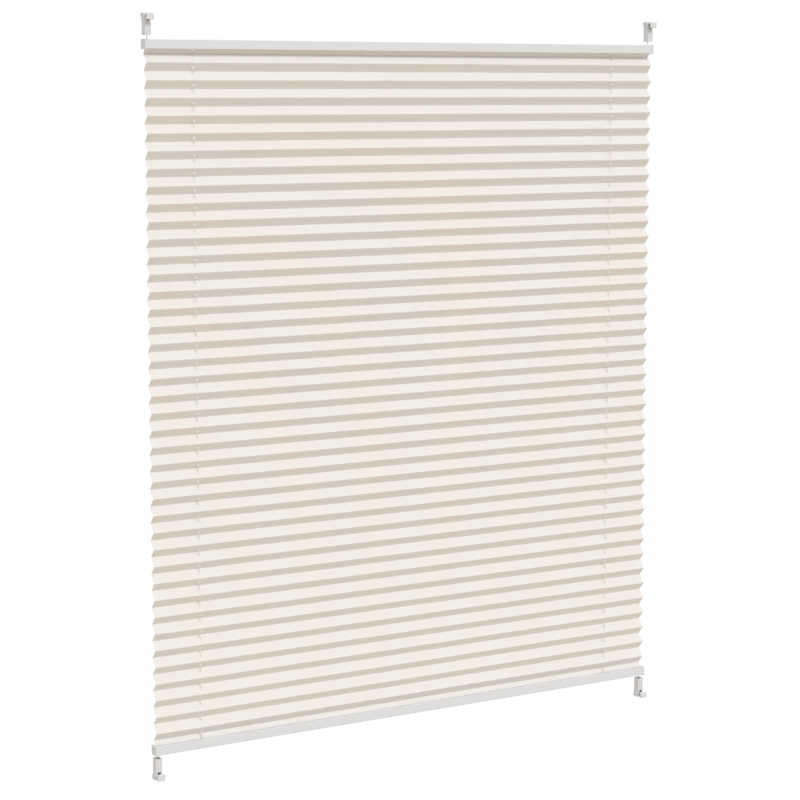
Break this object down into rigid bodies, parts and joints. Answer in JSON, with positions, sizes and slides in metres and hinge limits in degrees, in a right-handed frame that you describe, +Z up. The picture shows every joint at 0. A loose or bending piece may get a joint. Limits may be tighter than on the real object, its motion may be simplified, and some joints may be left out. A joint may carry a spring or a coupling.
{
  "type": "pleated blind",
  "caption": "Cream pleated blind held taut between white tension shoes that clamp to a window sash, with slim top and bottom rails that slide on crossed cords.",
  "frame": {"origin": "midway between the screw slots of the two upper tension shoes, at the middle of their depth", "axes": "+X along the rails, -Y towards the window pane, where the hooks' lips are, +Z up"},
  "size_m": [1.052, 0.0277, 1.338],
  "materials": {
    "white_coated_aluminium": "satin",
    "white_moulded_plastic": "satin",
    "white_strip_plastic": "matte",
    "grey_stop_plastic": "matte",
    "cream_pleated_fabric": "matte",
    "white_braided_cord": "matte",
    "zinc_plated_steel": "satin"
  },
  "bodies": {
    "shoes": {"bottom_left_clamp_screw": "zinc_plated_steel", "bottom_left_cord_stop": "grey_stop_plastic", "bottom_left_shoe_housing": "white_moulded_plastic", "bottom_left_tension_spring": "zinc_plated_steel", "bottom_right_clamp_screw": "zinc_plated_steel", "bottom_right_cord_stop": "grey_stop_plastic", "bottom_right_shoe_housing": "white_moulded_plastic", "bottom_right_tension_spring": "zinc_plated_steel", "left_tension_cord": "white_braided_cord", "pleated_fabric": "cream_pleated_fabric", "right_tension_cord": "white_braided_cord", "top_left_clamp_screw": "zinc_plated_steel", "top_left_cord_stop": "grey_stop_plastic", "top_left_shoe_housing": "white_moulded_plastic", "top_left_tension_spring": "zinc_plated_steel", "top_right_clamp_screw": "zinc_plated_steel", "top_right_cord_stop": "grey_stop_plastic", "top_right_shoe_housing": "white_moulded_plastic", "top_right_tension_spring": "zinc_plated_steel"},
    "top_rail": {"top_left_cord_guide": "white_moulded_plastic", "top_left_end_cap": "white_moulded_plastic", "top_rail": "white_coated_aluminium", "top_retaining_strip": "white_strip_plastic", "top_right_cord_guide": "white_moulded_plastic", "top_right_end_cap": "white_moulded_plastic"},
    "bottom_rail": {"bottom_left_cord_guide": "white_moulded_plastic", "bottom_left_end_cap": "white_moulded_plastic", "bottom_rail": "white_coated_aluminium", "bottom_retaining_strip": "white_strip_plastic", "bottom_right_cord_guide": "white_moulded_plastic", "bottom_right_end_cap": "white_moulded_plastic"},
    "top_left_hook": {"top_left_clamp_hook": "white_moulded_plastic"},
    "top_right_hook": {"top_right_clamp_hook": "white_moulded_plastic"},
    "bottom_left_hook": {"bottom_left_clamp_hook": "white_moulded_plastic"},
    "bottom_right_hook": {"bottom_right_clamp_hook": "white_moulded_plastic"}
  },
  "joints": [
    {"name": "top_rail_slide", "type": "slide", "parent": "shoes", "child": "top_rail", "axis": [0, 0, -1], "range_m": [0, 0.574], "deforming": ["pleated_fabric", "left_tension_cord", "right_tension_cord"]},
    {"name": "bottom_rail_slide", "type": "slide", "parent": "shoes", "child": "bottom_rail", "axis": [0, 0, 1], "range_m": [0, 0.574], "deforming": ["pleated_fabric", "left_tension_cord", "right_tension_cord"]},
    {"name": "top_left_hook_slide", "type": "slide", "parent": "shoes", "child": "top_left_hook", "axis": [0, -1, 0], "range_m": [-0.004, 0.004]},
    {"name": "top_right_hook_slide", "type": "slide", "parent": "shoes", "child": "top_right_hook", "axis": [0, -1, 0], "range_m": [-0.004, 0.004]},
    {"name": "bottom_left_hook_slide", "type": "slide", "parent": "shoes", "child": "bottom_left_hook", "axis": [0, -1, 0], "range_m": [-0.004, 0.004]},
    {"name": "bottom_right_hook_slide", "type": "slide", "parent": "shoes", "child": "bottom_right_hook", "axis": [0, -1, 0], "range_m": [-0.004, 0.004]}
  ]
}
